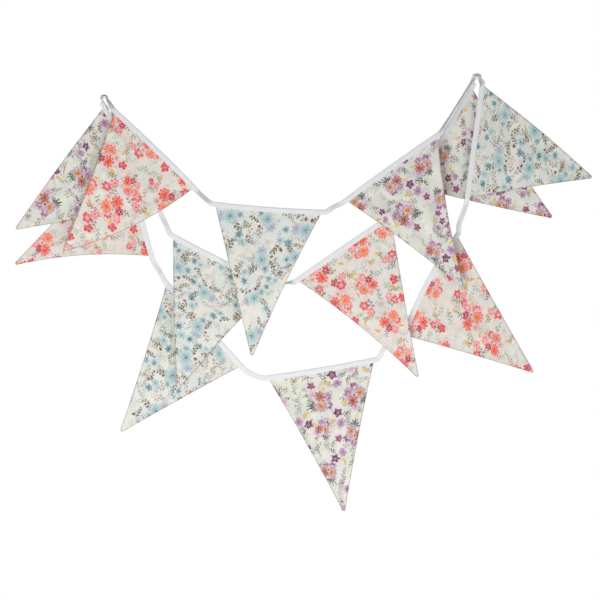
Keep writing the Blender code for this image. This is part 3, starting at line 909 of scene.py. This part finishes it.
def single_motifs(painters, design, drawn, colour):
    """Lays the single motifs wherever bouquets and sprays leave room."""
    pitch = settings().bouquet_pitch / MM
    way, chance, middle = scattered(painters, drawn, pitch / 2, SINGLE_SHIFT, SINGLE_JITTER)
    lot = parts(chance)[2]
    clear = 1.0
    for shift, least in ((0.0, CLEAR_OF_BOUQUET), (pitch * SPRAY_SHIFT, CLEAR_OF_SPRAY)):
        other = scattered(painters, middle, pitch, shift, BOUQUET_JITTER)[0]
        clear = (vector("LENGTH", other) > least) * clear
    for i, motif in enumerate(design.singles):
        shown = (lot > i * SINGLE_SHARE) * (lot < (i + 1) * SINGLE_SHARE) * clear
        colour = painted_motif(painters, colour, way, motif, shown)
    return colour


def weave_height(point, pitch_mm):
    """Height of a plain weave, with threads of uneven weight."""
    x, y, _ = parts(point)
    turns = math.pi / pitch_mm
    weave = calc("SINE", x * turns) * calc("SINE", y * turns)
    slub = clouds(vector("MULTIPLY", point, SLUB_STRETCH), SLUB_SCALE, 2.0, dimensions="3D")
    return slub * SLUB_RISE + weave * WEAVE_RISE


def cut_point(tree):
    """The place on the cotton in millimetres, from the piece's own map of its cut."""
    return vector("SCALE", made(tree, "ShaderNodeUVMap", uv_map="cut"), Scale=1.0 / MM)


def finish_cotton(tree, colour, height, bump_mm):
    """The cotton's shader, with its weave as bump."""
    bump = made(tree, "ShaderNodeBump", {"Height": height, "Strength": 0.5, "Distance": bump_mm * MM})
    shader = made(tree, "ShaderNodeBsdfPrincipled", {
        "Base Color": colour, "Roughness": 0.86, "Specular IOR Level": 0.25,
        "Sheen Weight": 0.10, "Sheen Roughness": 0.5, "Normal": bump,
    })
    add(tree, "ShaderNodeOutputMaterial", {"Surface": shader})


def empty_material(name):
    """A material with no nodes yet."""
    material = bpy.data.materials.new(name)
    material.use_nodes = True
    material.node_tree.nodes.clear()
    return material


def printed_cotton(colourway, painters):
    """Cotton with bouquets, sprays and sprigs of small painted flowers in one colourway."""
    design = PRINTS[colourway]
    material = empty_material("printed_cotton_" + colourway)
    tree = material.node_tree
    point = drawn = cut_point(tree)
    colour = painted_ground(point, design.tints)
    for scale, reach in WOBBLES:
        by_hand = vector("SUBTRACT", clouds(drawn, scale, 1.0, output="Color"), (0.5, 0.5, 0.5))
        drawn = vector("ADD", drawn, vector("SCALE", by_hand, Scale=reach))
    colour = strewn_twigs(painters, design, point, drawn, colour)
    colour = single_motifs(painters, design, drawn, colour)
    pitch = settings().bouquet_pitch / MM
    for motifs, shift in ((design.spray, pitch * SPRAY_SHIFT), (design.bouquet, 0.0)):
        way, chance, _ = scattered(painters, drawn, pitch, shift, BOUQUET_JITTER)
        smaller = parts(chance)[1] * WAY_GAIN + WAY_LEAST
        way = vector("SCALE", way, Scale=smaller)
        for motif in motifs:
            colour = painted_motif(painters, colour, way, motif, 1.0)
    pale = 1.0 - step_down(clouds(point, MOTTLE_SCALE, 3.0, roughness=0.6), *MOTTLE_EDGE)
    colour = blend(pale * MOTTLE_INK, colour, ink("cream"))
    wrong_side = made(tree, "ShaderNodeAttribute", output="Fac", attribute_name="wrong_side")
    colour = blend(wrong_side * WRONG_SIDE_INK, colour, ink("cream"))
    from_side = made(tree, "ShaderNodeAttribute", output="Fac", attribute_name="from_side")
    # painted shade: the print darkens towards each side, where the turned edge curves away from the light
    colour = blend(step_down(from_side, *SIDE_SHADE_EDGE) * SIDE_SHADE_INK, colour, ink("bark"))
    height = weave_height(point, settings().weave_pitch / MM)
    seam = step_down(from_side, SEAM_W - SEAM_IN, SEAM_W + SEAM_OUT) * SEAM_RISE
    finish_cotton(tree, colour, height + seam, CLOTH_BUMP)
    return material


def tape_cotton():
    """The tape's white cotton, with fine slanting ribs."""
    material = empty_material("white_tape_cotton")
    tree = material.node_tree
    point = cut_point(tree)
    x, y, _ = parts(point)
    rib = calc("SINE", (x + y) * (math.tau / TAPE_RIB_MM))
    white = tuple(settings().tape_colour)
    shade = tuple(TAPE_SHADE * each for each in white)
    cloud = clouds(point, TAPE_CLOUD_SCALE, 3.0, dimensions="3D")
    colour = blend(cloud * TAPE_CLOUD_INK, white, shade)
    pucker = clouds(vector("MULTIPLY", point, PUCKER_STRETCH), PUCKER_SCALE, 1.0, dimensions="3D")
    finish_cotton(tree, colour, pucker * PUCKER_RISE + rib * TAPE_RIB_RISE, TAPE_BUMP)
    return material


def thread_cotton():
    """White sewing thread with its twist."""
    material = empty_material("white_sewing_thread")
    tree = material.node_tree
    place = made(tree, "ShaderNodeTexCoord", output="Object")
    inputs = {"Vector": place, "Scale": THREAD_TWIST, "Distortion": 1.0}
    twist = made(tree, "ShaderNodeTexWave", inputs, "Fac", bands_direction="DIAGONAL")
    white = tuple(settings().thread_colour)
    colour = blend(twist * THREAD_INK, white, tuple(THREAD_SHADE * each for each in white))
    finish_cotton(tree, colour, twist, THREAD_BUMP)
    return material


def side_distance(along, down):
    """Millimetres from a point of the flat cut to the nearer of its two sides."""
    width, height = settings().pennant_width / MM, settings().pennant_height / MM
    flat = flat_point(along, down)
    slope = (width - TIP_W) / 2 / height
    wide = TIP_W / 2 + slope * (height + flat.y)
    return min((wide - abs(flat.x)) / math.hypot(1, slope), height + flat.y)


def cut_place(name, flat):
    """Where a point of the flat cut lies on the printed cotton, in metres."""
    cut = CUTS[name]
    turn = math.radians(cut.turn)
    right = flat.x * math.cos(turn) - flat.y * math.sin(turn)
    up = flat.x * math.sin(turn) + flat.y * math.cos(turn)
    return ((cut.right + right) * MM, (cut.up + up) * MM)


def grid_piece(name, cols, rows):
    """A new square grid with a map for its cut, ready to be laid on a shape."""
    deselect_all()
    bpy.ops.mesh.primitive_grid_add(x_subdivisions=cols, y_subdivisions=rows, size=1.0, calc_uvs=True)
    obj = bpy.context.active_object
    obj.name = name
    obj.data.name = name
    obj.data.uv_layers[0].name = "cut"
    return obj


def grid_shares(obj):
    """Each vertex's place on its grid, from 0 to 1 each way."""
    return [(vert.co.x + 0.5, vert.co.y + 0.5) for vert in obj.data.vertices]


def map_cut(obj, places):
    """Writes each vertex's place on the cotton into the piece's map."""
    layer = obj.data.uv_layers["cut"].data
    for loop in obj.data.loops:
        layer[loop.index].uv = places[loop.vertex_index]


def apply_modifiers(obj):
    """Applies the piece's modifiers, in order."""
    deselect_all()
    obj.select_set(True)
    bpy.context.view_layer.objects.active = obj
    for modifier in list(obj.modifiers):
        bpy.ops.object.modifier_apply(modifier=modifier.name)


def sewn_sheet(obj, material, thickness, sharp_deg, group=""):
    """Gives a sheet its thickness to both sides, its material and its shading."""
    shell = obj.modifiers.new("thickness", "SOLIDIFY")
    shell.thickness = thickness
    shell.offset = 0.0
    shell.vertex_group = group
    apply_modifiers(obj)
    obj.data.materials.append(material)
    obj.data.shade_smooth()
    obj.data.set_sharp_from_angle(angle=math.radians(sharp_deg))
    return obj


def make_pennant(name, material):
    """One pennant as a fine sheet on its hanging shape, thicker at its turned edges."""
    obj = grid_piece("cloth_" + name, CLOTH_COLS, CLOTH_ROWS)
    places, sides, turned_up = [], [], []
    line = WRONG_SIDE.get(name, NO_WRONG_SIDE)
    for vert, (along, down) in zip(obj.data.vertices, grid_shares(obj)):
        turned_up.append(smooth((down - line + TURN_SLANT * (0.5 - along)) / TURN_EDGE + 0.5))
        vert.co = pennant_point(name, along, down) * MM
        places.append(cut_place(name, flat_point(along, down)))
        sides.append(side_distance(along, down))
    map_cut(obj, places)
    for label, values in (("from_side", sides), ("wrong_side", turned_up)):
        obj.data.attributes.new(label, "FLOAT", "POINT").data.foreach_set("value", values)
    turned_edge = obj.vertex_groups.new(name="turned_edge")
    for index, side in enumerate(sides):
        plump = INNER_PLUMP + (1 - INNER_PLUMP) * smooth((SEAM_W + SEAM_PAST - side) / SEAM_FADE)
        rounded = RIM_PLUMP + (1 - RIM_PLUMP) * smooth(side / RIM_W)
        turned_edge.add([index], plump * rounded, "REPLACE")
    return sewn_sheet(obj, material, settings().cloth_thickness / INNER_PLUMP, 50, "turned_edge")


def tape_profile(half, width):
    """The folded tape's section from one open edge round the fold to the other."""
    flat_run = width - half
    points = [(width / 2 - flat_run * i / TAPE_LEAF_STEPS, -half) for i in range(TAPE_LEAF_STEPS + 1)]
    middle = width / 2 - flat_run
    for i in range(1, TAPE_FOLD_STEPS):
        angle = math.pi * i / TAPE_FOLD_STEPS
        points.append((middle - half * math.sin(angle), -half * math.cos(angle)))
    points += [(out, -off) for out, off in reversed(points[: TAPE_LEAF_STEPS + 1])]
    return points


def make_tape(material):
    """The tape as one thin sheet, folded lengthwise and led over its whole way."""
    frames = tape_frames()
    width = settings().tape_width / MM
    count = 2 * (TAPE_LEAF_STEPS + 1) + TAPE_FOLD_STEPS - 1
    obj = grid_piece("folded_tape", count - 1, len(frames) - 1)
    places = []
    for vert, (share_across, share_along) in zip(obj.data.vertices, grid_shares(obj)):
        place = frames[round(share_along * (len(frames) - 1))]
        k = round(share_across * (count - 1))
        out, off = tape_profile(place.half, width)[k]
        uneven = noise.noise(Vector((place.travelled / TAPE_WAVE, LANE_STEP * k, LEAF_SEED)))
        second_leaf = EDGE_STEP * (k > count / 2)
        edge = TAPE_EDGE_RISE * noise.noise(Vector((place.travelled / TAPE_EDGE_WAVE, second_leaf, EDGE_SEED)))
        off += TAPE_RISE * uneven if abs(off) > FOLD_HALF else 0.0
        vert.co = (place.middle + place.hang * (out + edge) + place.through * off) * MM
        places.append((place.travelled * MM, k * 2 * width / (count - 1) * MM))
    map_cut(obj, places)
    return sewn_sheet(obj, material, LEAF_T * MM, 60)


def frame_at(frames, travelled, start):
    """The tape's frame at a distance along it, from the two sections round it."""
    i = start
    while i < len(frames) - 2 and frames[i + 1].travelled < travelled:
        i += 1
    here, there = frames[i], frames[i + 1]
    share = (travelled - here.travelled) / (there.travelled - here.travelled)
    return i, TapeFrame(
        here.middle.lerp(there.middle, share),
        here.hang.lerp(there.hang, share).normalized(),
        here.through.lerp(there.through, share).normalized(),
        here.half + (there.half - here.half) * share,
        travelled,
    )


def make_stitching(material):
    """The tape's row of straight stitches, on both its faces, near its open edge."""
    frames = tape_frames()
    width = settings().tape_width / MM
    deselect_all()
    bpy.ops.mesh.primitive_cylinder_add(vertices=6, radius=1.0, depth=1.0, end_fill_type="TRIFAN")
    stitch = bpy.context.active_object
    shape = [vert.co.copy() for vert in stitch.data.vertices]
    faces = [tuple(face.vertices) for face in stitch.data.polygons]
    bpy.data.objects.remove(stitch, do_unlink=True)
    verts, polygons, at = [], [], 0
    travelled = STITCH_PITCH
    while travelled < frames[-1].travelled - STITCH_PITCH:
        at, place = frame_at(frames, travelled, at)
        run = place.hang.cross(place.through).normalized()
        for face in (-1, 1):
            lift = face * (place.half + LEAF_T / 2 + STITCH_R * STITCH_PROUD)
            middle = place.middle + place.hang * (width / 2 - STITCH_IN) + place.through * lift
            base = len(verts)
            for co in shape:
                bow = face * STITCH_R * STITCH_BOW * (1 - (2 * co.z) ** 2)
                point = middle + place.hang * co.x * STITCH_R + run * co.z * STITCH_L
                verts.append((point + place.through * (co.y * STITCH_R + bow)) * MM)
            polygons += [tuple(base + index for index in corner) for corner in faces]
        travelled += STITCH_PITCH
    mesh = bpy.data.meshes.new("tape_stitching")
    mesh.from_pydata(verts, [], polygons)
    obj = bpy.data.objects.new("tape_stitching", mesh)
    bpy.context.scene.collection.objects.link(obj)
    mesh.materials.append(material)
    mesh.shade_smooth()
    return obj


# Stage, in metres. The picture is 990 mm wide and high where the bunting hangs.
PICTURE_M = 0.990
PICTURE_MIDDLE = (0.320, -0.332)
CAMERA_OFF = 3.4
SENSOR_MM = 36.0
FLOOR_DROP = 0.55
FLOOR_SIZE = 3.2
Lamp = namedtuple("Lamp", "name x y z size watts")
LAMPS = (
    Lamp("key", -0.2, -1.5, -1.13, 1.1, 34),
    Lamp("fill", 1.5, -1.8, -0.8, 1.0, 12),
    Lamp("back", 0.3, 2.2, 0.8, 2.0, 30),
)
SKY_LIGHT = 0.21


def stood(name, data, location, rotation):
    """A lamp or the camera in its place in the scene."""
    obj = bpy.data.objects.new(name, data)
    obj.location = location
    obj.rotation_euler = rotation
    bpy.context.scene.collection.objects.link(obj)
    return obj


class BUNTING_OT_pennants(bpy.types.Operator):
    """Makes every printed cotton pennant on its hanging shape"""

    bl_idname = "bunting.pennants"
    bl_label = "Make Pennants"

    def execute(self, context):
        painters = make_painters()
        cottons = {name: printed_cotton(name, painters) for name in PRINTS}
        for name, row in PENNANTS.items():
            cloth = make_pennant(name, cottons[row.colour])
            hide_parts("pennant_" + name)
            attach(cloth, ROOT)
        return {"FINISHED"}


class BUNTING_OT_tape(bpy.types.Operator):
    """Makes the folded tape and its stitching"""

    bl_idname = "bunting.tape"
    bl_label = "Make Tape"

    def execute(self, context):
        tape = make_tape(tape_cotton())
        stitching = make_stitching(thread_cotton())
        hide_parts("bunting_tape")
        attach(tape, ROOT)
        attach(stitching, ROOT)
        length = tape_frames()[-1].travelled * MM
        return {"FINISHED"}


class BUNTING_OT_stage(bpy.types.Operator):
    """Makes the plain floor, the soft lamps and the camera"""

    bl_idname = "bunting.stage"
    bl_label = "Make Stage"

    def execute(self, context):
        scene = context.scene
        middle_x, middle_z = PICTURE_MIDDLE
        deselect_all()
        bpy.ops.mesh.primitive_plane_add(size=FLOOR_SIZE)
        floor = context.active_object
        floor.name = "stage_floor"
        drop = CAD_BOX[0][2] - FLOOR_DROP
        for vert in floor.data.vertices:
            vert.co += Vector((middle_x, 0, drop))
        floor_material = empty_material("plain_floor")
        tree = floor_material.node_tree
        shader = made(tree, "ShaderNodeBsdfPrincipled", {
            "Base Color": tuple(settings().floor_colour), "Roughness": 0.9})
        add(tree, "ShaderNodeOutputMaterial", {"Surface": shader})
        floor.data.materials.append(floor_material)
        target = Vector((middle_x, 0, middle_z))
        for lamp in LAMPS:
            data = bpy.data.lights.new(lamp.name, "AREA")
            data.energy = lamp.watts
            data.size = lamp.size
            location = Vector((lamp.x, lamp.y, lamp.z))
            stood(lamp.name, data, location, (target - location).to_track_quat("-Z", "Y").to_euler())
        world = bpy.data.worlds.new("white_studio")
        world.use_nodes = True
        tree = world.node_tree
        tree.nodes.clear()
        seen = made(tree, "ShaderNodeLightPath", output="Is Camera Ray")
        strength = made(tree, "ShaderNodeMix", {"Factor": seen, 2: SKY_LIGHT, 3: 1.0}, data_type="FLOAT")
        sky = made(tree, "ShaderNodeBackground", {"Color": (1.0, 1.0, 1.0), "Strength": strength})
        add(tree, "ShaderNodeOutputWorld", {"Surface": sky})
        scene.world = world
        scene.view_settings.view_transform = "Standard"
        camera_data = bpy.data.cameras.new("camera")
        camera_data.sensor_width = SENSOR_MM
        camera_data.lens = SENSOR_MM * CAMERA_OFF / PICTURE_M
        location = (middle_x, -CAMERA_OFF, middle_z)
        scene.camera = stood("camera", camera_data, location, (math.radians(90), 0, 0))
        return {"FINISHED"}


class BUNTING_PT_panel(bpy.types.Panel):
    """Lists the bunting's settings and operators"""

    bl_idname = "BUNTING_PT_panel"
    bl_label = "Fabric Bunting"
    bl_space_type = "VIEW_3D"
    bl_region_type = "UI"
    bl_category = "Bunting"

    def draw(self, context):
        layout = self.layout
        for key in BuntingSettings.__annotations__:
            layout.prop(context.scene.bunting, key)
        for operator in OPERATORS:
            layout.operator(operator.bl_idname)


OPERATORS = (BUNTING_OT_tape, BUNTING_OT_pennants, BUNTING_OT_stage)
CLASSES = (BuntingSettings, *OPERATORS, BUNTING_PT_panel)


def register():
    """Registers the classes and the scene's settings."""
    for each in CLASSES:
        bpy.utils.register_class(each)
    bpy.types.Scene.bunting = bpy.props.PointerProperty(type=BuntingSettings)


def unregister():
    """Takes the classes and the settings away again."""
    del bpy.types.Scene.bunting
    for each in reversed(CLASSES):
        bpy.utils.unregister_class(each)


def main():
    """Makes every piece in order."""
    register()
    bpy.ops.bunting.tape()
    bpy.ops.bunting.pennants()
    bpy.ops.bunting.stage()


if __name__ == "__main__":
    main()
